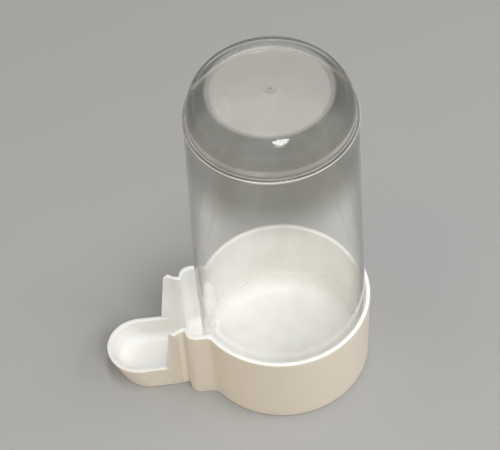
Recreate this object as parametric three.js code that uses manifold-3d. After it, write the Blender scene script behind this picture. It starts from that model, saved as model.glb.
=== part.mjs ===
// A gravity water fountain for a cage bird. A clear tank stands mouth down in a moulded cup, and
// the cup runs through a waisted neck, which grips two cage wires, into a shallow drinking trough.
// Millimetres, +Z up. The origin is on the tank's axis at the underside of the cup, and the
// trough points along -X.

import * as THREE from 'three';
import { mergeVertices } from 'three/addons/utils/BufferGeometryUtils.js';
import Module from 'manifold-3d';

const wasm = await Module();
wasm.setup();

// Base moulding: cup, neck and trough share one floor
const floorThickness = 1.5;
const sideWall = 1.7;
const footRounding = 0.5;
const cupFootRounding = 1.2;
const cutOverrun = 2;

// Water tank: straight at the mouth, then tapered up to a bead ring, a shoulder and a flat disc
const tankMouthRadius = 30.25;
const tankWall = 1.5;
const tankStraightLength = 52.1;
const tankTaperLength = 73.2;
const tankTaper = 1.55;
const ringProud = 0.25;
const ringThickness = 1.1;
const ringWidth = 1.25;
const ringLedgeDrop = 0.35;
const shoulderRise = 12.1;
const discRadius = 18.9;
const lipRounding = 0.4;

// Sunk gate mark in the middle of the tank's disc
const gateDishRadius = 2.6;
const gateDishDepth = 0.45;
const gateStubRadius = 0.7;
const gateStubHeight = 0.3;

// Clearances between the tank and the cup
const lipPlay = 0.3;
const rimPlay = 0.45;
const lipSeatGap = 0.3;

// Cup
const cupHeight = 34;
const cupRimWall = 1.6;
const cupFootWall = 1.05;
const rimRounding = 0.35;

// Shelf low in the cup that carries the tank's lip, and the floor's sweep up to it
const shelfHeight = 5.6;
const shelfWidth = 1.7;
const sweepReach = 6.5;

// Neck: straight cheeks beside the cup, a groove for a cage wire in each side, flared ends
const cheekPastCup = 0.7;
const cheekStandOut = 4.6;
const cheekRounding = 3.6;
const cheekDraft = 0.15;
const grooveRamp = 0.5;
const grooveHalfWidth = 12.35;
const grooveFlat = 1.3;
const grooveDraft = 0.95;
const flareLength = 2.6;
const flareStandOut = 1.85;
const flareTip = 0.9;
const neckEndLean = 2.6;

// Trough
const troughHeight = 11;
const troughHalfWidth = 12.2;
const troughLength = 21.2;
const troughSideDraft = 0.3;
const troughTipDraft = 4;
const floorRounding = 3.2;

// Counts, and the power that squares up the tank's shoulder
const roundSegments = 80;
const cornerSteps = 4;
const sweepSteps = 5;
const tipSteps = 16;
const shoulderSteps = 12;
const shoulderPower = 0.8;

// Heights and radii that follow from the seat of the tank in the cup
const lipHeight = shelfHeight + lipSeatGap;
const taperStart = lipHeight + tankStraightLength;
const ringHeight = taperStart + tankTaperLength;
const tankHeight = ringHeight + shoulderRise;
const tankTopRadius = tankMouthRadius - tankTaper;
const cupInnerRimRadius = tankMouthRadius + rimPlay;
const cupRimRadius = cupInnerRimRadius + cupRimWall;
const cupInnerFootRadius = tankMouthRadius + lipPlay;
const cupFootRadius = cupInnerFootRadius + cupFootWall;
const shelfInnerRadius = cupInnerFootRadius - shelfWidth;
const sweepStartRadius = shelfInnerRadius - sweepReach;

// Stations along the neck and the trough, measured from the tank's axis
const cheekReach = cupRimRadius + cheekPastCup;
const grooveReach = cheekReach + cheekRounding + grooveRamp;
const flareReach = grooveReach + grooveFlat + flareLength;
const neckEndReach = flareReach + flareTip;
const neckFootReach = neckEndReach + neckEndLean;
const troughReach = neckFootReach + troughLength;
const cheekHalfWidth = grooveHalfWidth + cheekStandOut;
const flareHalfWidth = grooveHalfWidth + flareStandOut;

const basePlastic = new THREE.MeshStandardMaterial({
  color: 0xf1ebe0, roughness: 0.32, metalness: 0,
});
const tankPlastic = new THREE.MeshStandardMaterial({
  color: 0xd9dcd8, roughness: 0.08, metalness: 0, transparent: true, opacity: 0.35,
});

function mix(from, to, share) {
  return from + (to - from) * share;
}

// Points of an elliptic arc in a profile, between two angles in quarter turns
function arc(centreRadius, centreZ, halfWidth, halfHeight, startTurn, endTurn, steps) {
  const points = [];
  for (let i = 0; i <= steps; i += 1) {
    const angle = mix(startTurn, endTurn, i / steps) * Math.PI / 2;
    points.push([
      centreRadius + halfWidth * Math.cos(angle),
      centreZ + halfHeight * Math.sin(angle),
    ]);
  }
  return points;
}

// Solid of revolution about +Z. The profile's [radius, z] points run upwards along the outside
// and start and end on the axis.
function revolve(profile) {
  const points = profile.map(([radius, z]) => new THREE.Vector2(radius, z));
  const geometry = new THREE.LatheGeometry(points, roundSegments);
  geometry.rotateX(Math.PI / 2);
  return toSolid(geometry);
}

// Solid lofted through plan outlines { z, outline } from the bottom up. The outlines run
// counterclockwise seen from above and have the same count of [x, y] points.
function loft(levels) {
  const count = levels[0].outline.length;
  const positions = [];
  const index = [];
  for (const { z, outline } of levels) {
    for (const [x, y] of outline) positions.push(x, y, z);
  }
  for (let start = 0; start < (levels.length - 1) * count; start += count) {
    for (let i = 0; i < count; i += 1) {
      const here = start + i;
      const next = start + (i + 1) % count;
      index.push(here, next, next + count, here, next + count, here + count);
    }
  }
  const flat = (level) => THREE.ShapeUtils.triangulateShape(
    level.outline.map(([x, y]) => new THREE.Vector2(x, y)),
    [],
  );
  const topStart = (levels.length - 1) * count;
  for (const [a, b, c] of flat(levels[0])) index.push(a, c, b);
  for (const [a, b, c] of flat(levels[levels.length - 1])) {
    index.push(topStart + a, topStart + b, topStart + c);
  }
  const geometry = new THREE.BufferGeometry();
  geometry.setAttribute('position', new THREE.Float32BufferAttribute(positions, 3));
  geometry.setIndex(index);
  return toSolid(geometry);
}

function toSolid(geometry) {
  geometry.deleteAttribute('normal');
  geometry.deleteAttribute('uv');
  const merged = mergeVertices(geometry);
  return new wasm.Manifold(new wasm.Mesh({
    numProp: 3,
    vertProperties: new Float32Array(merged.attributes.position.array),
    triVerts: new Uint32Array(merged.index.array),
  }));
}

function toMesh(name, solid, material) {
  const { vertProperties, triVerts } = solid.getMesh();
  const geometry = new THREE.BufferGeometry();
  geometry.setAttribute('position', new THREE.BufferAttribute(new Float32Array(vertProperties), 3));
  geometry.setIndex(new THREE.BufferAttribute(new Uint32Array(triVerts), 1));
  geometry.computeVertexNormals();
  const mesh = new THREE.Mesh(geometry, material);
  mesh.name = name;
  return mesh;
}

// Whole outline from its half, given as [reach, half width] points from the root to the tip
function mirrored(half) {
  const back = half.map(([reach, width]) => [-reach, width]);
  const front = half.map(([reach, width]) => [-reach, -width]);
  return [...back, ...front.reverse()];
}

// Levels of a hollow whose floor edge is rounded: from the floor up its quarter round, then to
// each listed height. The inset tells outlineAt how far the round draws the walls in.
function hollowLevels(outlineAt, heights) {
  const levels = [];
  for (let i = 0; i < cornerSteps; i += 1) {
    const angle = (i / cornerSteps) * Math.PI / 2;
    const z = floorThickness + floorRounding * (1 - Math.cos(angle));
    levels.push({ z, outline: outlineAt(z, sideWall + floorRounding * (1 - Math.sin(angle))) });
  }
  for (const z of [floorThickness + floorRounding, ...heights]) {
    levels.push({ z, outline: outlineAt(z, sideWall) });
  }
  return levels;
}

// Levels of an outer body whose foot edge is rounded
function bodyLevels(outlineAt, heights) {
  const levels = [];
  for (let i = 0; i < cornerSteps; i += 1) {
    const angle = (i / cornerSteps) * Math.PI / 2;
    const z = footRounding * (1 - Math.cos(angle));
    levels.push({ z, outline: outlineAt(z, footRounding * (1 - Math.sin(angle))) });
  }
  for (const z of [footRounding, ...heights]) {
    levels.push({ z, outline: outlineAt(z, 0) });
  }
  return levels;
}

function troughHalfAt(z) {
  return mix(troughHalfWidth - troughSideDraft, troughHalfWidth, z / troughHeight);
}

// Plan of the trough at height z: straight sides and a round tip that leans back towards the foot
function troughOutline(rootReach) {
  return (z, inset) => {
    const halfWidth = troughHalfAt(z) - inset;
    const reach = mix(troughReach - troughTipDraft, troughReach, z / troughHeight);
    const tipLength = troughHalfWidth - inset;
    const points = [
      [rootReach, halfWidth],
      ...arc(reach - troughHalfWidth, 0, tipLength, halfWidth, 1, -1, tipSteps),
      [rootReach, -halfWidth],
    ];
    return points.map(([along, across]) => [-along, across]);
  };
}

// Plan of the neck at height z. Below the trough's rim its flares lie flush with the trough, and
// above it they spread and their ends lean back. A hollow runs on past the ends.
function neckOutline(rootReach, endOverrun) {
  return (z, inset) => {
    const rise = z / cupHeight;
    const spread = Math.max(0, (z - troughHeight) / (cupHeight - troughHeight));
    const cheek = mix(cheekHalfWidth - cheekDraft, cheekHalfWidth, rise) - inset;
    const groove = mix(grooveHalfWidth - grooveDraft, grooveHalfWidth, rise) - inset;
    const flare = mix(troughHalfAt(Math.min(z, troughHeight)), flareHalfWidth, spread) - inset;
    const end = mix(neckFootReach, neckEndReach, spread) + endOverrun;
    const endHalf = endOverrun > 0 ? flare : mix(flare, flare - sideWall, spread);
    const shift = inset / 2;
    return mirrored([
      [rootReach, cheek],
      ...arc(cheekReach - shift, cheek - cheekRounding, cheekRounding, cheekRounding, 1, 0, cornerSteps),
      [grooveReach - shift, groove],
      [grooveReach + grooveFlat - shift, groove],
      [flareReach, flare],
      [end, endHalf],
    ]);
  };
}

function makeBase() {
  const cup = revolve([
    [0, 0],
    ...arc(
      cupFootRadius - cupFootRounding, cupFootRounding,
      cupFootRounding, cupFootRounding,
      -1, 0, cornerSteps,
    ),
    [cupRimRadius, cupHeight - rimRounding],
    [cupRimRadius - rimRounding, cupHeight],
    [0, cupHeight],
  ]);
  const cupHollow = revolve([
    [0, floorThickness],
    ...arc(
      sweepStartRadius, shelfHeight,
      sweepReach, shelfHeight - floorThickness,
      -1, 0, sweepSteps,
    ),
    [cupInnerFootRadius, shelfHeight],
    [cupInnerRimRadius, cupHeight - rimRounding],
    [cupInnerRimRadius + rimRounding, cupHeight],
    [cupInnerRimRadius + rimRounding, cupHeight + cutOverrun],
    [0, cupHeight + cutOverrun],
  ]);
  const neck = loft(bodyLevels(neckOutline(sweepStartRadius, 0), [troughHeight, cupHeight]));
  const neckHollow = loft(hollowLevels(
    neckOutline(sweepStartRadius / 2, cutOverrun),
    [troughHeight, cupHeight, cupHeight + cutOverrun],
  ));
  const trough = loft(bodyLevels(troughOutline(flareReach), [troughHeight]));
  const troughHollow = loft(hollowLevels(
    troughOutline(neckEndReach),
    [troughHeight, troughHeight + cutOverrun],
  ));
  return cup.add(neck).add(trough).subtract(cupHollow).subtract(neckHollow).subtract(troughHollow);
}

// Shoulder of the tank from the disc's edge down to its foot, as a superellipse quarter
function shoulder(edgeRadius, edgeHeight, footRadius, footHeight) {
  const points = [];
  for (let i = 0; i <= shoulderSteps; i += 1) {
    const angle = (i / shoulderSteps) * Math.PI / 2;
    points.push([
      mix(edgeRadius, footRadius, Math.sin(angle) ** shoulderPower),
      mix(footHeight, edgeHeight, Math.cos(angle) ** shoulderPower),
    ]);
  }
  return points;
}

function makeTank() {
  const dishBottom = tankHeight - gateDishDepth;
  const ringRadius = tankTopRadius + ringProud;
  const shoulderFoot = ringRadius - ringWidth;
  const outside = [
    [0, dishBottom + gateStubHeight],
    [gateStubRadius, dishBottom + gateStubHeight],
    [gateStubRadius, dishBottom],
    [mix(gateStubRadius, gateDishRadius, 2 / 3), mix(dishBottom, tankHeight, 1 / 3)],
    [gateDishRadius, tankHeight],
    ...shoulder(discRadius, tankHeight, shoulderFoot, ringHeight - ringLedgeDrop),
    [mix(shoulderFoot, ringRadius, 1 / 2), ringHeight],
    [ringRadius, ringHeight - ringThickness / 3],
    [ringRadius, ringHeight - ringThickness],
    [tankTopRadius, ringHeight - ringThickness - ringProud],
    [tankMouthRadius, taperStart],
    [tankMouthRadius, lipHeight + lipRounding],
    [tankMouthRadius - lipRounding, lipHeight],
  ];
  const insideRise = shoulder(
    discRadius - tankWall / 2, tankHeight - tankWall,
    tankTopRadius - tankWall, ringHeight - tankWall,
  );
  const inside = [
    [tankMouthRadius - tankWall + lipRounding, lipHeight],
    [tankMouthRadius - tankWall, lipHeight + lipRounding],
    [tankMouthRadius - tankWall, taperStart],
    ...insideRise.reverse(),
    [0, tankHeight - tankWall],
  ];
  return revolve([...outside, ...inside].reverse());
}

const fountain = new THREE.Group();
fountain.add(toMesh('drinking_base', makeBase(), basePlastic));
fountain.add(toMesh('water_tank', makeTank(), tankPlastic));

export default fountain;
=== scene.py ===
import math

import bpy
import numpy as np
from mathutils import Matrix, Quaternion, Vector


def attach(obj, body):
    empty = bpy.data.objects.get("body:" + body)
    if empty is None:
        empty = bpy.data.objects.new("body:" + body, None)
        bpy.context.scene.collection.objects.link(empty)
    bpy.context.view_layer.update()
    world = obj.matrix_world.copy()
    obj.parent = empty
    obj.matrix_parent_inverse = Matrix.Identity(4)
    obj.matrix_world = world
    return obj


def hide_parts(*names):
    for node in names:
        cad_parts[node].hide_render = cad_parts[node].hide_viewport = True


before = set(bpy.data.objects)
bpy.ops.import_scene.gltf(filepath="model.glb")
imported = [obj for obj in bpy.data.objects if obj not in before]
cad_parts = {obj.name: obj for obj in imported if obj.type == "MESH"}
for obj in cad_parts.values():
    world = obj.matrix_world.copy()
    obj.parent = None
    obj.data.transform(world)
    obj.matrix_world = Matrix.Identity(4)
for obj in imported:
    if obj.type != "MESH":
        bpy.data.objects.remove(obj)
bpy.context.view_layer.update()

mm = 0.001


# Shapes

def blend(start, end, share):
    # straight line between two values: start + (end - start) share
    return start + (end - start) * share


def quarter(steps):
    # angles from 0 to a quarter turn
    return np.linspace(0, math.pi / 2, steps + 1)


def metres(start, steps):
    # distances in mm past a start, as metres: (start + step) / 1000
    return [(start + step) * mm for step in steps]


def meshPiece(name, points, faces):
    # object from points, as rows of x, y and z in metres, and faces, as rows of point numbers
    mesh = bpy.data.meshes.new(name)
    mesh.from_pydata(points.tolist(), [], faces)
    mesh.validate()
    mesh.update()
    piece = bpy.data.objects.new(name, mesh)
    bpy.context.scene.collection.objects.link(piece)
    return piece


def gridQuads(rows, columns):
    # quads between neighbouring rows of a grid whose columns close on themselves
    row, column = np.meshgrid(np.arange(rows - 1), np.arange(columns), indexing="ij")
    following = (column + 1) % columns
    corners = (
        row * columns + column,
        row * columns + following,
        (row + 1) * columns + following,
        (row + 1) * columns + column,
    )
    return np.stack(corners, axis=-1).reshape(-1, 4)


def turnedPiece(name, profile, segments, wobble=None):
    # surface of revolution: x = r cos a, y = r sin a, z = h, where the profile's (r, h) run from
    # the axis at the top down the outside and end on the axis; wobble(r, h, a) is added to r
    angle = np.linspace(0, 2 * math.pi, segments, endpoint=False)
    radius, height = (column[:, None] for column in profile[1:-1].T)
    around = radius + (wobble(radius, height, angle) if wobble else 0 * angle)
    rings = np.stack(
        (around * np.cos(angle), around * np.sin(angle), height + 0 * around), axis=-1
    ).reshape(-1, 3)
    first, last = (np.array([[0, 0, profile[end, 1]]]) for end in (0, -1))
    quads = gridQuads(len(profile) - 2, segments)[:, [0, 3, 2, 1]]
    lane = np.arange(segments)
    ahead = (lane + 1) % segments
    lastRing = (len(profile) - 3) * segments
    poles = len(rings)
    crown = np.stack((poles + 0 * lane, lane, ahead), axis=-1)
    foot = np.stack((poles + 1 + 0 * lane, lastRing + ahead, lastRing + lane), axis=-1)
    faces = quads.tolist() + crown.tolist() + foot.tolist()
    return meshPiece(name, np.concatenate((rings, first, last)) * mm, faces)


def loftedPiece(name, levels):
    # closed skin through level outlines: point i of outline k joins points i of k - 1 and k + 1
    rows, columns = levels.shape[:2]
    faces = gridQuads(rows, columns).tolist()
    faces.append(np.arange(columns)[::-1].tolist())
    faces.append((np.arange(columns) + (rows - 1) * columns).tolist())
    return meshPiece(name, levels.reshape(-1, 3) * mm, faces)


def softened(line, rounds):
    # corner cutting: each pass puts new points a quarter and three quarters along every stretch
    for _ in range(rounds):
        near = 0.75 * line[:-1] + 0.25 * line[1:]
        far = 0.25 * line[:-1] + 0.75 * line[1:]
        between = np.stack((near, far), axis=1).reshape(-1, 2)
        line = np.concatenate((line[:1], between, line[-1:]))
    return line


def cut(piece, other, operation):
    # boolean step: the other solid is joined to the piece or taken out of it
    step = piece.modifiers.new(other.name, "BOOLEAN")
    step.operation = operation
    step.solver = "MANIFOLD"
    step.object = other


def settled(piece, helpers):
    # the shape after its modifiers, with the helper solids removed
    shaped = bpy.data.meshes.new_from_object(
        piece.evaluated_get(bpy.context.evaluated_depsgraph_get())
    )
    piece.modifiers.clear()
    piece.data = shaped
    for helper in helpers:
        bpy.data.objects.remove(helper)
    return piece


# Materials

class ShaderValue:
    # a node's output that adds, multiplies and so on like a number

    def __init__(self, tree, socket):
        self.tree = tree
        self.socket = socket

    def node(self, kind, settings, inputs, output=0):
        # any node: its type, its settings, its sockets' values or links, and the output wanted
        made = self.tree.nodes.new(kind)
        for name, value in settings.items():
            setattr(made, name, value)
        for name, value in inputs.items():
            if isinstance(value, ShaderValue):
                self.tree.links.new(value.socket, made.inputs[name])
            else:
                made.inputs[name].default_value = value
        return ShaderValue(self.tree, made.outputs[output])

    def maths(self, operation, *values):
        numbered = dict(enumerate(values))
        return self.node("ShaderNodeMath", {"operation": operation}, numbered)

    def __add__(self, other):
        return self.maths("ADD", self, other)

    def __radd__(self, other):
        return self.maths("ADD", other, self)

    def __sub__(self, other):
        return self.maths("SUBTRACT", self, other)

    def __rsub__(self, other):
        return self.maths("SUBTRACT", other, self)

    def __mul__(self, other):
        return self.maths("MULTIPLY", self, other)

    def __rmul__(self, other):
        return self.maths("MULTIPLY", other, self)

    def __pow__(self, other):
        return self.maths("POWER", self, other)

    def __neg__(self):
        return self.maths("MULTIPLY", self, -1)

    def between(self, low, high):
        # 0 below low, 1 above high and a soft step in between
        limits = {"Value": self, "From Min": low, "From Max": high}
        return self.node("ShaderNodeMapRange", {"interpolation_type": "SMOOTHSTEP"}, limits)

    def noise(self, scale, detail, roughness):
        inputs = {"Vector": self, "Scale": scale, "Detail": detail, "Roughness": roughness}
        return self.node("ShaderNodeTexNoise", {}, inputs)

    def stretched(self, x, y, z):
        # a vector times x, y and z: a pattern on it is drawn out where these are small
        inputs = {0: self, 1: (x, y, z)}
        return self.node("ShaderNodeVectorMath", {"operation": "MULTIPLY"}, inputs)

    def tinted(self, low, high):
        # colour that runs from low to high as the value runs from 0 to 1
        ends = [end if isinstance(end, ShaderValue) else (*end, 1) for end in (low, high)]
        inputs = {0: self, 6: ends[0], 7: ends[1]}
        return self.node("ShaderNodeMix", {"data_type": "RGBA"}, inputs, 2)


def newMaterial(name):
    # an empty material, its output node and its Object coordinates
    material = bpy.data.materials.new(name)
    material.use_nodes = True
    tree = material.node_tree
    tree.nodes.clear()
    output = tree.nodes.new("ShaderNodeOutputMaterial")
    start = tree.nodes.new("ShaderNodeTexCoord")
    return material, output, ShaderValue(tree, start.outputs["Object"])


# Camera, at the photograph's viewing angle

cameraView = {
    "target": (-8.73, 12.70, 58.75),  # mm, a point in the middle of the picture
    "azimuth": 2.849,  # degrees from +Y towards +X
    "elevation": 51.697,
    "distance": 675.80,  # mm
    "roll": -4.216,
    "lens": 136.8,
    "sensorWidth": 36.0,
}


def placeCamera(view):
    # looks along the azimuth and down the elevation at the target, then rolls about that line
    azimuth, elevation, roll = (
        math.radians(view[name]) for name in ("azimuth", "elevation", "roll")
    )
    forward = Vector((
        math.sin(azimuth) * math.cos(elevation),
        math.cos(azimuth) * math.cos(elevation),
        -math.sin(elevation),
    ))
    level = forward.cross(Vector((0, 0, 1))).normalized()
    upright = level.cross(forward)
    right = level * math.cos(roll) + upright * math.sin(roll)
    up = upright * math.cos(roll) - level * math.sin(roll)
    data = bpy.data.cameras.new("camera")
    data.lens = view["lens"]
    data.sensor_fit = "HORIZONTAL"
    data.sensor_width = view["sensorWidth"]
    data.clip_start = 0.01
    camera = bpy.data.objects.new("camera", data)
    place = Matrix((right, up, -forward)).transposed().to_4x4()
    place.translation = (Vector(view["target"]) - forward * view["distance"]) * mm
    camera.matrix_world = place
    bpy.context.scene.collection.objects.link(camera)
    bpy.context.scene.camera = camera


placeCamera(cameraView)
print("camera placed")


# Drinking base: cup, neck and trough in one moulding

base = {
    "floor": 1.5,
    "wall": 1.7,
    "cupHeight": 34.0,
    "cupRadius": 32.3,  # outside, at the rim
    "cupFootRadius": 31.6,
    "cupInside": 30.7,  # at the rim
    "cupInsideFoot": 30.55,
    "cupFootRounding": 1.2,
    "footRounding": 0.5,
    "rimOuterRounding": 0.5,
    "rimInnerRounding": 0.35,
    "shelfHeight": 5.6,
    "shelfRadius": 28.85,
    "sweepRadius": 22.35,
    "cheek": (16.8, 16.6),  # half widths at the foot and at the rim
    "groove": (11.4, 12.35),
    "flare": 14.2,
    "cheekReach": 32.3,
    "cheekRounding": 3.9,
    "cheekFillet": 3.0,  # where the neck runs into the cup
    "grooveReach": 36.35,
    "grooveFlat": 1.9,
    "grooveRise": 0.12,
    "flareReach": 40.2,
    "tipDraw": 0.8,  # how far the flare's tip is drawn in, at the rim
    "tipRounding": 0.9,
    "tipCorner": 0.85,  # share of that across the neck
    "neckEnd": (44.5, 41.9),  # at the trough's rim and at the neck's rim
    "troughHeight": 11.0,
    "troughWidth": (11.9, 12.2),
    "troughReach": (61.7, 65.7),
    "floorRounding": 3.2,
    "overrun": 2.0,  # how far the hollows run past the rims
    "segments": 192,
    "wallSteps": 13,
    "footSteps": 4,
    "rimSteps": 5,
    "cupFootSteps": 6,
    "floorSteps": 8,
    "sweepSteps": 12,
    "cheekSteps": 4,
    "filletSteps": 6,
    "tipSteps": 48,
    "softening": 3,  # passes over the neck's outline
    "sharpAngle": 32,  # degrees, past which an edge isn't smoothed
}


def troughHalf(z):
    return blend(*base["troughWidth"], z / base["troughHeight"])


def troughOutline(root, z, inset):
    # straight sides, then a round tip: along = c + (b - inset) cos t, across = (w - inset) sin t
    half = troughHalf(z) - inset
    reach = blend(*base["troughReach"], z / base["troughHeight"])
    turn = np.linspace(math.pi / 2, -math.pi / 2, base["tipSteps"] + 1)
    tip = base["troughWidth"][1]
    along = reach - tip + (tip - inset) * np.cos(turn)
    line = np.stack((along, half * np.sin(turn)), axis=1)
    line = np.concatenate(([[root, half]], line, [[root, -half]]))
    return np.stack((-line[:, 0], line[:, 1], np.full(len(line), z)), axis=1)


def cupFillet(cheek, cup):
    # arc that touches the cheek's side and the cup: its centre stands one radius off both
    radius = base["cheekFillet"]
    across = cheek + radius
    along = math.sqrt((cup + radius) ** 2 - across ** 2)
    turn = np.linspace(math.atan2(along, across), 0, base["filletSteps"] + 1)
    return np.stack((along - radius * np.sin(turn), across - radius * np.cos(turn)), axis=1)


def neckOutline(root, overrun, z, inset):
    # half outline cheek, groove, flare and tip, softened, then mirrored about the XZ plane
    low = base["troughHeight"]
    rise = z / base["cupHeight"]
    spread = max(0.0, (z - low) / (base["cupHeight"] - low))
    cheek = blend(*base["cheek"], rise) - inset
    groove = blend(*base["groove"], rise) - inset
    flare = blend(troughHalf(min(z, low)), base["flare"], spread) - inset
    end = blend(*base["neckEnd"], spread) + overrun
    tip = flare if overrun else flare - base["tipDraw"] * spread
    tipRounding = base["tipRounding"]
    if overrun:
        ending, fillet = [[end, tip]], [[root, cheek]]
    else:
        cup = blend(base["cupFootRadius"], base["cupRadius"], rise) - inset
        fillet = cupFillet(cheek, cup)
        fillet = np.concatenate(([[root, fillet[0, 1]]], fillet))
        ending = [[end - tipRounding, tip], [end, tip - tipRounding * base["tipCorner"]]]
    rounding = base["cheekRounding"]
    turn = quarter(base["cheekSteps"])[::-1]
    shift = inset / 2
    corner = np.stack((
        base["cheekReach"] - shift + rounding * np.cos(turn),
        cheek - rounding + rounding * np.sin(turn),
    ), axis=1)
    grooveStart = base["grooveReach"] - shift
    line = np.concatenate((
        corner,
        [[grooveStart, groove]],
        [[grooveStart + base["grooveFlat"], groove + base["grooveRise"]]],
        [[base["flareReach"], flare]],
        ending,
    ))
    line = np.concatenate((fillet, softened(line, base["softening"])))
    whole = np.concatenate((line, line[::-1] * (1, -1)))
    return np.stack((-whole[:, 0], whole[:, 1], np.full(len(whole), z)), axis=1)


def bodyLevels(outline, height):
    # solid body: a quarter round at the foot, straight walls, a quarter round at the rim
    foot, rim = base["footRounding"], base["rimOuterRounding"]
    levels = [
        (foot * (1 - math.cos(t)), foot * (1 - math.sin(t))) for t in quarter(base["footSteps"])
    ]
    levels += [(z, 0.0) for z in np.linspace(foot, height - rim, base["wallSteps"] + 1)[1:-1]]
    levels += [
        (height - rim * (1 - math.sin(t)), rim * (1 - math.cos(t)))
        for t in quarter(base["rimSteps"])
    ]
    return np.stack([outline(z, inset) for z, inset in levels])


def hollowLevels(outline, height):
    # hollow: a quarter round at the floor, straight walls, and a lip that opens at the rim
    wall, rounding, rim = base["wall"], base["floorRounding"], base["rimInnerRounding"]
    levels = [
        (base["floor"] + rounding * (1 - math.cos(t)), wall + rounding * (1 - math.sin(t)))
        for t in quarter(base["floorSteps"])
    ]
    start = base["floor"] + rounding
    levels += [(z, wall) for z in np.linspace(start, height - rim, base["wallSteps"] + 1)[1:-1]]
    levels += [
        (height - rim * (1 - math.sin(t)), wall - rim * (1 - math.cos(t)))
        for t in quarter(base["rimSteps"])
    ]
    levels.append((height + base["overrun"], wall - rim))
    return np.stack([outline(z, inset) for z, inset in levels])


def cupProfile():
    # outside of the cup from the axis at the top, over the rounded rim, down to the foot
    rim, foot = base["rimOuterRounding"], base["cupFootRounding"]
    top, rimCentre = base["cupHeight"], base["cupRadius"] - rim
    over = [
        (rimCentre + rim * math.sin(t), top - rim * (1 - math.cos(t)))
        for t in quarter(base["rimSteps"])
    ]
    down = np.linspace(
        (base["cupRadius"], top - rim), (base["cupFootRadius"], foot), base["wallSteps"] + 1
    )
    footCentre = base["cupFootRadius"] - foot
    under = [
        (footCentre + foot * math.cos(t), foot * (1 - math.sin(t)))
        for t in quarter(base["cupFootSteps"])
    ]
    return np.array([(0, top), *over, *down[1:-1], *under, (0, 0)])


def cupHollowProfile():
    # inside of the cup: lip, wall, the shelf that carries the tank, and the sweep to the floor
    rim, top = base["rimInnerRounding"], base["cupHeight"]
    lip = [
        (base["cupInside"] + rim * (1 - math.sin(t)), top - rim * (1 - math.cos(t)))
        for t in quarter(base["rimSteps"])
    ]
    shelf, depth = base["shelfHeight"], base["shelfHeight"] - base["floor"]
    down = np.linspace(
        (base["cupInside"], top - rim), (base["cupInsideFoot"], shelf), base["wallSteps"] + 1
    )
    reach = base["shelfRadius"] - base["sweepRadius"]
    sweep = [
        (base["sweepRadius"] + reach * math.cos(t), shelf - depth * math.sin(t))
        for t in quarter(base["sweepSteps"])
    ]
    over = top + base["overrun"]
    return np.array([
        (0, over), (base["cupInside"] + rim, over), *lip, *down[1:], *sweep, (0, base["floor"])
    ])


def makeBase():
    # cup, neck and trough joined, then their three hollows taken out
    cup = turnedPiece("drinking_base_moulding", cupProfile(), base["segments"])
    root, low, high = base["sweepRadius"], base["troughHeight"], base["cupHeight"]
    neck = loftedPiece("neck", bodyLevels(lambda z, inset: neckOutline(root, 0, z, inset), high))
    trough = loftedPiece(
        "trough", bodyLevels(lambda z, inset: troughOutline(base["flareReach"], z, inset), low)
    )
    cupHollow = turnedPiece("cup_hollow", cupHollowProfile(), base["segments"])
    neckHollow = loftedPiece(
        "neck_hollow",
        hollowLevels(lambda z, inset: neckOutline(root / 2, base["overrun"], z, inset), high),
    )
    troughHollow = loftedPiece(
        "trough_hollow",
        hollowLevels(lambda z, inset: troughOutline(base["neckEnd"][1], z, inset), low),
    )
    for solid in (neck, trough):
        cut(cup, solid, "UNION")
    for hollow in (cupHollow, neckHollow, troughHollow):
        cut(cup, hollow, "DIFFERENCE")
    return settled(cup, (neck, trough, cupHollow, neckHollow, troughHollow))


def markOuterWalls(piece):
    # attribute outerWall: how upright a face is, where it looks away from the middle line of cup
    # and spout or from the tank's axis, and nought on the inside and on the neck's tips
    pastGroove, softness, tiny = 0.8, 0.15, 1e-6
    mesh = piece.data
    count = len(mesh.polygons)
    centres, normals = np.empty(count * 3), np.empty(count * 3)
    mesh.polygons.foreach_get("center", centres)
    mesh.polygons.foreach_get("normal", normals)
    centres, normals = centres.reshape(-1, 3), normals.reshape(-1, 3)
    reach = (base["troughReach"][1] - base["troughWidth"][1]) * mm
    away = centres[:, :2].copy()
    away[:, 0] -= np.clip(away[:, 0], -reach, 0)
    outwards = centres[:, :2] * (centres[:, :1] > -(base["grooveReach"] + pastGroove) * mm)
    upright = np.linalg.norm(normals[:, :2], axis=1)
    looks = np.max([
        (line * normals[:, :2]).sum(axis=1) / np.maximum(np.linalg.norm(line, axis=1), tiny)
        for line in (away, outwards)
    ], axis=0) / np.maximum(upright, tiny)
    spread = np.clip(centres[:, 2] / mm - base["troughHeight"], 0, None) / (
        base["cupHeight"] - base["troughHeight"]
    )
    end = blend(*base["neckEnd"], spread) - base["tipRounding"]
    onTip = (spread > 0) & (-centres[:, 0] > end * mm)
    facing = upright * np.clip(looks / softness, 0, 1) * ~onTip
    # the material paints warm shade on the faces where this is high
    mesh.attributes.new("outerWall", "FLOAT", "FACE").data.foreach_set("value", facing)


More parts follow.
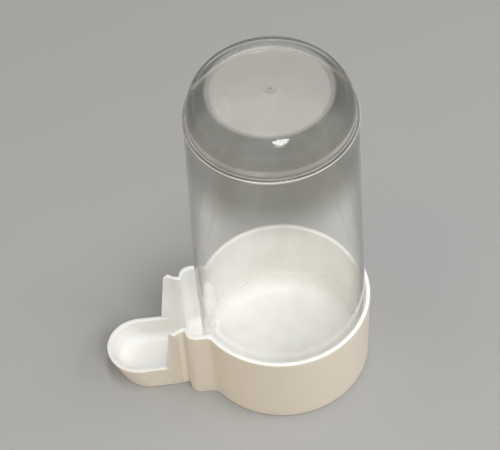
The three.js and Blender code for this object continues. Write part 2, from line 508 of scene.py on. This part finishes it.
basePlastic = {
    "inside": (0.89, 0.89, 0.87),
    "basinShade": (0.79, 0.79, 0.775),  # inside of neck and trough: painted shade, darker than the cup's inside
    "basinShadeFade": (22.0, 36.0),  # mm along the neck, over which the inside turns into that
    # outside: painted warm shade on the outer walls, the same white plastic as the inside
    "outside": (0.79, 0.705, 0.59),
    "upright": (0.8, 0.98),  # how upright a wall is where the outside's painted shade sets in
    "rubbed": (0.91, 0.83, 0.71),  # painted light: a lighter strip beside the groove, on the face that turns towards the light
    "rubbedFrom": (0.2, 0.7),  # mm past the groove's start
    "rubbedTo": (2.0, 2.6),
    "troughLighter": 0.4,  # share of that painted light on the outside of the trough, which lessens its painted shade
    "troughLighterFrom": 0.4,  # mm past the flare
    "troughLighterTo": 2.0,  # mm past the neck's end
    "stain": (0.76, 0.72, 0.62),
    "cloudStain": 0.35,
    "scuffStain": 0.2,
    "flowStain": 0.3,
    "roughness": 0.3,
    "cloudRoughness": 0.12,
    "scuffRoughness": 0.15,
    "ior": 1.5,
    "peel": 0.04,
    "peelDepth": 0.002,
    "speckleHeight": 0.6,
    "cloudHeight": 0.8,
    "cloud": (45.0, 4.0, 0.55),  # patterns: scale, detail and roughness of the noise
    "cloudRange": (0.52, 0.8),
    "speckle": (900.0, 3.0, 0.6),
    "scuffs": (520.0, 2.0, 0.5),
    "scuffRange": (0.66, 0.78),
    "scuffStretch": 0.25,
    "flow": (170.0, 2.0, 0.5),
    "flowRange": (0.45, 0.75),
    "flowStretch": 0.12,
    "ripple": (160.0, 2.0, 0.5),
}


def makeBasePlastic():
    # cooler white inside; painted warm shade outside and painted shade in neck and trough, painted
    # light beside the groove; clouds, fine scuffs and dried streaks
    look = basePlastic
    material, output, place = newMaterial("base_plastic_moulded")
    walls = place.node("ShaderNodeAttribute", {"attribute_name": "outerWall"}, {}, "Fac")
    cloud = place.noise(*look["cloud"])
    scuffs = place.stretched(1, 1, look["scuffStretch"]).noise(*look["scuffs"])
    scuffs = scuffs.between(*look["scuffRange"])
    flow = place.stretched(1, 1, look["flowStretch"]).noise(*look["flow"])
    outwards = -place.node("ShaderNodeSeparateXYZ", {}, {0: place}, "X")
    # painted shade: the neck and trough are darker inside than the cup
    basinShadeShare = outwards.between(*metres(0, look["basinShadeFade"]))
    inside = basinShadeShare.tinted(look["inside"], look["basinShade"])
    # painted light: a lighter strip beside the groove
    rubbed = outwards.between(*metres(base["grooveReach"], look["rubbedFrom"]))
    rubbed = rubbed * (1 - outwards.between(*metres(base["grooveReach"], look["rubbedTo"])))
    # less of the painted shade on the trough's outside
    troughLighter = outwards.between(
        (base["flareReach"] + look["troughLighterFrom"]) * mm, (base["neckEnd"][0] + look["troughLighterTo"]) * mm
    )
    outside = (rubbed + troughLighter * look["troughLighter"]).tinted(look["outside"], look["rubbed"])
    # painted shade: the upright outer walls take the warm, darker outside colour
    tone = walls.between(*look["upright"]).tinted(inside, outside)
    worn = (
        cloud.between(*look["cloudRange"]) * look["cloudStain"]
        + scuffs * look["scuffStain"]
        + flow.between(*look["flowRange"]) * look["flowStain"]
    )
    roughness = look["roughness"] + cloud * look["cloudRoughness"] + scuffs * look["scuffRoughness"]
    height = (
        place.noise(*look["speckle"]) * look["speckleHeight"] + cloud * look["cloudHeight"]
        + place.noise(*look["ripple"])
    )
    bump = place.node("ShaderNodeBump", {}, {
        "Strength": look["peel"], "Distance": look["peelDepth"], "Height": height,
    })
    shader = place.node("ShaderNodeBsdfPrincipled", {}, {
        "Base Color": worn.tinted(tone, look["stain"]), "Roughness": roughness,
        "Normal": bump, "IOR": look["ior"],
    })
    place.tree.links.new(shader.socket, output.inputs["Surface"])
    return material


baseMoulding = makeBase()
baseMoulding.data.set_sharp_from_angle(angle=math.radians(base["sharpAngle"]))
markOuterWalls(baseMoulding)
baseMoulding.data.materials.clear()
baseMoulding.data.materials.append(makeBasePlastic())
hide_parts("drinking_base")
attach(baseMoulding, "base")
print("drinking base made,", len(baseMoulding.data.polygons), "faces")


# Water tank: one clear moulding, open at the mouth

tank = {
    "wall": 1.1,
    "domeWall": 1.5,
    "lip": 5.9,
    "lipRounding": 0.4,
    "mouthRadius": 30.25,
    "mouthDraw": 0.4,  # narrower inside the cup
    "drawHeights": (33.0, 42.0),  # between these the wall draws in
    "taperStart": 58.0,
    "bend": 1.5,  # length over which the wall bends at the ends of its taper
    "topRadius": 28.7,
    "ring": 131.2,
    "ringProud": 0.25,
    "ringThickness": 1.1,
    "ringWidth": 1.25,
    "ledgeDrop": 0.35,
    "underRing": 5.0,  # the inside's taper ends this far under the ring
    "top": 143.3,
    "discRadius": 18.9,
    "discRings": (2.5, 2.8, 10.0),  # rings of points on the flat disc
    "shoulderPower": 0.8,
    "gateRadius": 2.4,
    "gateDepth": 0.06,
    "gateStart": 0.25,  # where the dish's curve starts, as a share of its width
    "stubRadius": 0.5,
    "stubTop": 0.8,  # share of that radius at the stub's top
    "stubHeight": 0.1,
    "waver": 0.05,
    "waverInset": 0.6,  # share of it that the wall moves in, to stay within its size
    "waverFade": (12.0, 1.0),  # fades out over this height, this far under the top
    "waverFrom": 24.0,  # radius past which it starts
    "waves": (  # waves round the tank, height per radian, start and share
        (2, 23.0, 0.0, 0.5),
        (3, -31.0, 1.3, 0.35),
        (5, 47.0, 2.1, 0.15),
    ),
    "segments": 256,
    "gatePoints": 7,
    "beadSteps": 8,
    "shoulderSteps": 40,
    "taperPoints": 40,
    "straightPoints": 10,
    "mouthPoints": 20,
    "lipPoints": 4,
    "sharpAngle": 50,
}


def shoulder(edge, edgeHeight, foot, footHeight):
    # superellipse quarter: r = edge + (foot - edge) sin(t)^p, h = foot + (edge - foot) cos(t)^p
    turn, power = quarter(tank["shoulderSteps"]), tank["shoulderPower"]
    radius = blend(edge, foot, np.sin(turn) ** power)
    height = blend(footHeight, edgeHeight, np.clip(np.cos(turn), 0, 1) ** power)
    return np.stack((radius, height), axis=1)


def tankProfile():
    # outside from the gate mark over the disc, shoulder, ring and taper to the lip, then back
    # up the inside, one wall thickness in
    top, dish = tank["top"], tank["top"] - tank["gateDepth"]
    ring, thick, bend = tank["ring"], tank["ringThickness"], tank["bend"]
    ringRadius = tank["topRadius"] + tank["ringProud"]
    ledge = ringRadius - tank["ringWidth"]
    outer, mouth = tank["mouthRadius"], tank["mouthRadius"] - tank["mouthDraw"]
    drawEnd, drawStart = tank["drawHeights"]
    lip, rounding, wall, dome = (
        tank[name] for name in ("lip", "lipRounding", "wall", "domeWall")
    )
    turn = np.linspace(tank["gateStart"], 1, tank["gatePoints"])[:, None]
    bowl = blend(
        np.array([[tank["stubRadius"], dish]]), np.array([[tank["gateRadius"], top]]),
        np.concatenate((turn, turn ** 2), axis=1),
    )
    bead = quarter(tank["beadSteps"])[:, None] * 2
    bead = np.concatenate((
        ringRadius - thick / 2 * (1 - np.sin(bead)), ring - thick / 2 * (1 - np.cos(bead))
    ), axis=1)
    stubTop = dish + tank["stubHeight"]
    outside = np.concatenate((
        [[0, stubTop], [tank["stubRadius"] * tank["stubTop"], stubTop]],
        [[tank["stubRadius"], dish]],
        bowl,
        [[reach, top] for reach in tank["discRings"]],
        shoulder(tank["discRadius"], top, ledge, ring - tank["ledgeDrop"]),
        bead,
        [[tank["topRadius"], ring - thick - tank["ringProud"]]],
        np.linspace(
            (tank["topRadius"], ring - thick - bend), (outer, tank["taperStart"]),
            tank["taperPoints"],
        ),
        np.linspace(
            (outer, tank["taperStart"] - bend), (outer, drawStart), tank["straightPoints"]
        ),
        np.linspace((mouth, drawEnd), (mouth, lip + rounding), tank["mouthPoints"]),
    ))
    turn = np.linspace(0, math.pi / 2, tank["lipPoints"])[1:, None]
    outerLip = np.concatenate((
        mouth - rounding * (1 - np.cos(turn)),
        lip + rounding * (1 - np.sin(turn)),
    ), axis=1)
    innerLip = outerLip[::-1] * (-1, 1) + (2 * mouth - wall, 0)
    inner = outer - wall
    up = np.concatenate((
        np.linspace((mouth - wall, lip + rounding), (mouth - wall, drawEnd), tank["mouthPoints"]),
        np.linspace(
            (inner, drawStart), (inner, tank["taperStart"] - bend), tank["straightPoints"]
        ),
        np.linspace(
            (inner, tank["taperStart"]), (tank["topRadius"] - wall, ring - tank["underRing"]),
            tank["taperPoints"],
        ),
    ))
    ceiling = shoulder(
        tank["discRadius"] - dome / 2, top - dome, tank["topRadius"] - dome, ring - dome
    )[::-1]
    return np.concatenate((outside, outerLip, innerLip, up, ceiling, [[0, top - dome]]))


def waver(radius, height, angle):
    # slow unevenness of the moulded wall: the sum of share x sin(count x angle + height / length
    # + start) over a few long waves, faded out near the top and within the disc's edge
    fade, below = tank["waverFade"]
    amount = tank["waver"] * np.clip((tank["top"] - below - height) / fade, 0, 1)
    amount = amount * np.clip(radius - tank["waverFrom"], 0, 1)
    waves = sum(
        share * np.sin(count * angle + height / length + start)
        for count, length, start, share in tank["waves"]
    )
    return amount * (waves - tank["waverInset"])


tankPlastic = {
    "tint": (1.0, 1.0, 0.99),
    "shadeTint": (0.48, 0.475, 0.44),  # painted shade: grey tint of the upper part, which fades towards the mouth
    "shadeTintFade": (98.0, 122.0),
    "shadeTintBands": (0.85, 0.2),  # its least share, and what bands down the wall add
    "sideShadeTint": (0.5, 0.5, 0.46),  # painted shade where the wall curves out of sight
    "sideRange": (0.6, 0.9),
    "sideFade": (24.0, 42.0),
    "sideEnd": 2.0,  # under the ring
    "edgeShine": 0.45,
    "edgeNarrowness": 18,
    "absorbed": (0.50, 0.51, 0.46),
    "density": 12.0,
    "ior": 1.45,
    "roughness": 0.02,
    "hazeRoughness": 0.03,
    "streakRoughness": 0.1,
    "shadow": 0.99,
    # white for scuffs, and for the painted highlights and reflections
    "scuffAndHighlight": (0.93, 0.92, 0.88),
    "scuffAndHighlightRoughness": 0.5,
    "ringHighlight": (0.3, 0.4),  # painted highlight on the ring: its least share, and what an uneven pattern adds
    "rimFrom": (-0.4, -0.1),  # mm past the ring's rim
    "ledgeShare": 0.7,
    "ledgeHighlight": 0.3,  # what is left of it further out
    "ledgeFrom": (-0.25, 0.0),  # mm past the ledge's inner edge
    "ledgeTo": (0.1, 0.3),
    "bandFrom": (-0.5, -0.2),  # mm over the ring's foot
    "bandTo": (0.0, 0.3),  # mm over the ring's top
    "arcReflection": (0.4, 0.9),  # painted reflection inside, where the shoulder runs into the wall: -Y and +Y side
    "arcBlend": (-12.0, 12.0),
    "arcPatchiness": (0.6, 0.4),  # its least share, and what an uneven pattern adds
    "arcRange": (0.4, 0.6),
    "arcFrom": (0.6, 1.1),  # over the ring's top
    "arcTo": (2.6, 3.3),
    "arcRadius": (27.3, 27.4),
    "discReflection": 0.18,  # painted reflection on the flat disc
    "discFrom": (-0.25, -0.02),  # under the top
    # share of white mixed in at the lip, fading out above it
    "lipWhitening": 0.65,
    "lipFade": (0.4, 6.0),  # over the lip
    "haze": 0.012,
    "smears": 0.05,
    "smearRange": (0.5, 0.78),
    "smearStretch": 0.45,
    "specks": 0.35,
    "speckRange": (0.77, 0.82),
    "peel": 0.008,
    "peelDepth": 0.004,
    "streakRange": (0.68, 0.8),
    "streakStretch": 0.08,
    "bandRange": (0.3, 0.7),
    "bandStretch": 0.05,
    "patterns": {  # scale, detail and roughness of the noise
        "haze": (60.0, 3.0, 0.5),
        "streaks": (700.0, 2.0, 0.5),
        "waves": (70.0, 2.0, 0.4),
        "bands": (75.0, 2.0, 0.4),
        "ringHighlightPattern": (250.0, 3.0, 0.6),
        "arcPatchiness": (45.0, 2.0, 0.5),
        "smears": (48.0, 5.0, 0.6),
        "specks": (820.0, 2.0, 0.5),
    },
}


def ringHighlights(place, height, across):
    # painted highlights on the bead ring's rim and the ledge inside it, between a little under and
    # over the ring
    look = tankPlastic
    top, thick = tank["ring"], tank["ringThickness"]
    rim = tank["topRadius"] + tank["ringProud"]
    ledge = rim - tank["ringWidth"]
    outer = across.between(*metres(rim, look["rimFrom"]))
    inner = across.between(*metres(ledge, look["ledgeFrom"]))
    past = across.between(*metres(ledge, look["ledgeTo"]))
    inner = inner * (1 - past * (1 - look["ledgeHighlight"]))
    band = height.between(*metres(top - thick, look["bandFrom"]))
    band = band * (1 - height.between(*metres(top, look["bandTo"])))
    least, added = look["ringHighlight"]
    wearAndHighlights = least + place.noise(*look["patterns"]["ringHighlightPattern"]) * added
    return outer.maths("MAXIMUM", outer, inner * look["ledgeShare"]) * band * wearAndHighlights


def arcReflections(place, height, across, depth):
    # painted reflection: a light band inside the dome, just over the ring: stronger on the +Y side,
    # and uneven
    look = tankPlastic
    arc = height.between(*metres(tank["ring"], look["arcFrom"]))
    arc = arc * (1 - height.between(*metres(tank["ring"], look["arcTo"])))
    arc = arc * (1 - across.between(*metres(0, look["arcRadius"])))
    near, far = look["arcReflection"]
    arc = arc * (near + depth.between(*metres(0, look["arcBlend"])) * (far - near))
    least, added = look["arcPatchiness"]
    wearAndHighlights = place.noise(*look["patterns"]["arcPatchiness"]).between(*look["arcRange"])
    return arc * (least + wearAndHighlights * added)


def makeTankPlastic():
    # clear plastic that absorbs a little, with painted shade that greys it towards the top and at
    # the sides, mixed with white where it is worn and where highlights and reflections are painted
    look, patterns = tankPlastic, tankPlastic["patterns"]
    material, output, place = newMaterial("tank_plastic_clear")
    depth = place.node("ShaderNodeSeparateXYZ", {}, {0: place}, "Y")
    height = place.node("ShaderNodeSeparateXYZ", {}, {0: place}, "Z")
    across = place.stretched(1, 1, 0)
    across = across.node("ShaderNodeVectorMath", {"operation": "LENGTH"}, {0: across}, "Value")
    streaks = place.stretched(1, 1, look["streakStretch"]).noise(*patterns["streaks"])
    roughness = (
        look["roughness"] + place.noise(*patterns["haze"]) * look["hazeRoughness"]
        + streaks.between(*look["streakRange"]) * look["streakRoughness"]
    )
    bump = place.node("ShaderNodeBump", {}, {
        "Strength": look["peel"], "Distance": look["peelDepth"],
        "Height": place.noise(*patterns["waves"]),
    })
    facing = place.node("ShaderNodeLayerWeight", {}, {"Blend": 0.5, "Normal": bump}, "Facing")
    bands = place.stretched(1, 1, look["bandStretch"]).noise(*patterns["bands"])
    # painted shade: grey towards the top, stronger in bands down the wall
    least, added = look["shadeTintBands"]
    shadeTint = height.between(*metres(0, look["shadeTintFade"]))
    shadeTint = shadeTint * (least + bands.between(*look["bandRange"]) * added)
    tint = shadeTint.tinted(look["tint"], look["shadeTint"])
    # painted shade where the wall curves out of sight
    tube = height.between(*metres(0, look["sideFade"])) * (
        1 - height.between(*metres(tank["ring"], (-look["sideEnd"], 0)))
    )
    tint = (facing.between(*look["sideRange"]) * tube).tinted(tint, look["sideShadeTint"])
    shader = place.node("ShaderNodeBsdfPrincipled", {}, {
        "Base Color": tint, "Roughness": roughness, "Normal": bump,
        "IOR": look["ior"], "Transmission Weight": 1.0,
    })
    scuffAndHighlight = place.node("ShaderNodeBsdfPrincipled", {}, {
        "Base Color": (*look["scuffAndHighlight"], 1), "Roughness": look["scuffAndHighlightRoughness"],
    })
    # painted reflection on the flat disc
    disc = height.between(*metres(tank["top"], look["discFrom"]))
    lip = 1 - height.between(*metres(tank["lip"], look["lipFade"]))
    smears = place.stretched(1, 1, look["smearStretch"]).noise(*patterns["smears"])
    specks = place.noise(*patterns["specks"])
    # share of white: scuffs, smears, specks and haze, with painted highlights on ring and edges and
    # painted reflections on arc and disc
    wearAndHighlights = (
        ringHighlights(place, height, across) + arcReflections(place, height, across, depth)
        + lip * look["lipWhitening"] + disc * look["discReflection"]
        + facing ** look["edgeNarrowness"] * look["edgeShine"]
        + smears.between(*look["smearRange"]) * look["smears"]
        + specks.between(*look["speckRange"]) * look["specks"] + look["haze"]
    )
    marked = wearAndHighlights.node("ShaderNodeMixShader", {}, {0: wearAndHighlights, 1: shader, 2: scuffAndHighlight})
    clear = place.node("ShaderNodeBsdfTransparent", {}, {"Color": (*[look["shadow"]] * 3, 1)})
    shadowRay = place.node("ShaderNodeLightPath", {}, {}, "Is Shadow Ray")
    diffuseRay = place.node("ShaderNodeLightPath", {}, {}, "Is Diffuse Ray")
    through = shadowRay.maths("MAXIMUM", shadowRay, diffuseRay)
    mixed = through.node("ShaderNodeMixShader", {}, {0: through, 1: marked, 2: clear})
    place.tree.links.new(mixed.socket, output.inputs["Surface"])
    absorbed = place.node("ShaderNodeVolumeAbsorption", {}, {
        "Color": (*look["absorbed"], 1), "Density": look["density"],
    })
    place.tree.links.new(absorbed.socket, output.inputs["Volume"])
    return material


clearTank = turnedPiece("water_tank_moulding", tankProfile(), tank["segments"], waver)
clearTank.data.set_sharp_from_angle(angle=math.radians(tank["sharpAngle"]))
clearTank.data.materials.append(makeTankPlastic())
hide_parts("water_tank")
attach(clearTank, "tank")
print("water tank made,", len(clearTank.data.polygons), "faces")


# Floor and light

studio = {
    "floor": (0.385, 0.385, 0.38),
    "floorGrain": 0.985,  # darkest share of that
    "floorRoughness": 0.85,
    "floorPattern": (30.0, 4.0, 0.6),  # scale, detail and roughness of the noise
    "floorSize": 6.0,
    "world": (0.95, 0.97, 1.0),
    "worldStrength": 0.18,  # as light on the object
    "horizon": 0.95,  # as seen by the camera, in gloss and through the tank
    "zenith": 0.4,
    "aim": 0.06,  # height that the lamps point at
    "lamps": {  # angles in degrees, size and distance in metres; a lamp with glint shows in gloss
        "back_softbox": {
            "azimuth": 4, "elevation": 54, "turn": 0, "distance": 1.3, "size": (0.24, 0.30),
            "power": 0.42, "colour": (1.0, 0.96, 0.9), "glint": True,
        },
        "top_softbox": {
            "azimuth": 160, "elevation": 47, "turn": 0, "distance": 1.2, "size": (0.7, 0.7),
            "power": 7.8, "colour": (1.0, 1.0, 1.0), "glint": False,
        },
        "front_lamp": {
            "azimuth": 130, "elevation": 84.5, "turn": -50, "distance": 1.1, "size": (0.17, 0.6),
            "power": 3.3, "colour": (1.0, 1.0, 1.0), "glint": True,
        },
        "side_fill": {
            "azimuth": 102, "elevation": 32, "turn": 0, "distance": 1.2, "size": (0.6, 0.6),
            "power": 5.6, "colour": (1.0, 0.98, 0.95), "glint": False,
        },
        "left_fill": {
            "azimuth": 282, "elevation": 34, "turn": 0, "distance": 1.2, "size": (0.6, 0.6),
            "power": 1.6, "colour": (1.0, 0.98, 0.95), "glint": False,
        },
        "warm_fill": {
            "azimuth": 238, "elevation": 22, "turn": 0, "distance": 1.2, "size": (0.9, 0.6),
            "power": 3.5, "colour": (1.0, 0.85, 0.62), "glint": False,
        },
    },
    "transparentBounces": 40,  # light crosses the clear wall many times
    "diffuseBounces": 6,
}


def addLamp(name, settings):
    # a soft lamp at an azimuth and elevation, aimed at the object and turned about its own axis
    azimuth, elevation, turn = (
        math.radians(settings[key]) for key in ("azimuth", "elevation", "turn")
    )
    towards = Vector((
        math.sin(azimuth) * math.cos(elevation),
        math.cos(azimuth) * math.cos(elevation),
        math.sin(elevation),
    ))
    data = bpy.data.lights.new(name, "AREA")
    data.shape = "ELLIPSE" if settings["glint"] else "RECTANGLE"
    data.size, data.size_y = settings["size"]
    data.energy = settings["power"]
    data.color = settings["colour"]
    lamp = bpy.data.objects.new(name, data)
    lamp.location = towards * settings["distance"] + Vector((0, 0, studio["aim"]))
    turned = towards.to_track_quat("Z", "Y") @ Quaternion((0, 0, 1), turn)
    lamp.rotation_euler = turned.to_euler()
    lamp.visible_glossy = lamp.visible_transmission = settings["glint"]
    bpy.context.scene.collection.objects.link(lamp)


def makeFloor():
    # one square, a little uneven in tone
    half = studio["floorSize"] / 2
    corners = np.array([[-half, -half, 0], [half, -half, 0], [half, half, 0], [-half, half, 0]])
    floor = meshPiece("floor", corners, [[0, 1, 2, 3]])
    material, output, place = newMaterial("floor_pale")
    grain = place.noise(*studio["floorPattern"])
    low = tuple(studio["floorGrain"] * part for part in studio["floor"])
    shader = place.node("ShaderNodeBsdfPrincipled", {}, {
        "Base Color": grain.tinted(low, studio["floor"]), "Roughness": studio["floorRoughness"],
    })
    place.tree.links.new(shader.socket, output.inputs["Surface"])
    floor.data.materials.append(material)


def makeWorld():
    # even light on the object; what is seen runs from zenith to horizon as (1 - |z|)^4
    world = bpy.data.worlds.new("studio")
    world.use_nodes = True
    tree = world.node_tree
    background = tree.nodes["Background"]
    background.inputs["Color"].default_value = (*studio["world"], 1)
    coordinates = tree.nodes.new("ShaderNodeTexCoord")
    direction = ShaderValue(tree, coordinates.outputs["Generated"])
    height = direction.node("ShaderNodeSeparateXYZ", {}, {0: direction}, "Z")
    horizon = (1 - height.maths("ABSOLUTE", height)) ** 4
    seen = studio["zenith"] + horizon * (studio["horizon"] - studio["zenith"])
    camera, glossy, transmission = (
        direction.node("ShaderNodeLightPath", {}, {}, f"Is {ray} Ray")
        for ray in ("Camera", "Glossy", "Transmission")
    )
    shown = camera.maths("MAXIMUM", camera.maths("MAXIMUM", camera, glossy), transmission)
    strength = shown * seen + (1 - shown) * studio["worldStrength"]
    tree.links.new(strength.socket, background.inputs["Strength"])
    bpy.context.scene.world = world


makeFloor()
makeWorld()
for lampName, lampSettings in studio["lamps"].items():
    addLamp(lampName, lampSettings)
bpy.context.scene.view_settings.view_transform = "Standard"
bpy.context.scene.cycles.transparent_max_bounces = studio["transparentBounces"]
bpy.context.scene.cycles.diffuse_bounces = studio["diffuseBounces"]
print("floor and lights placed")
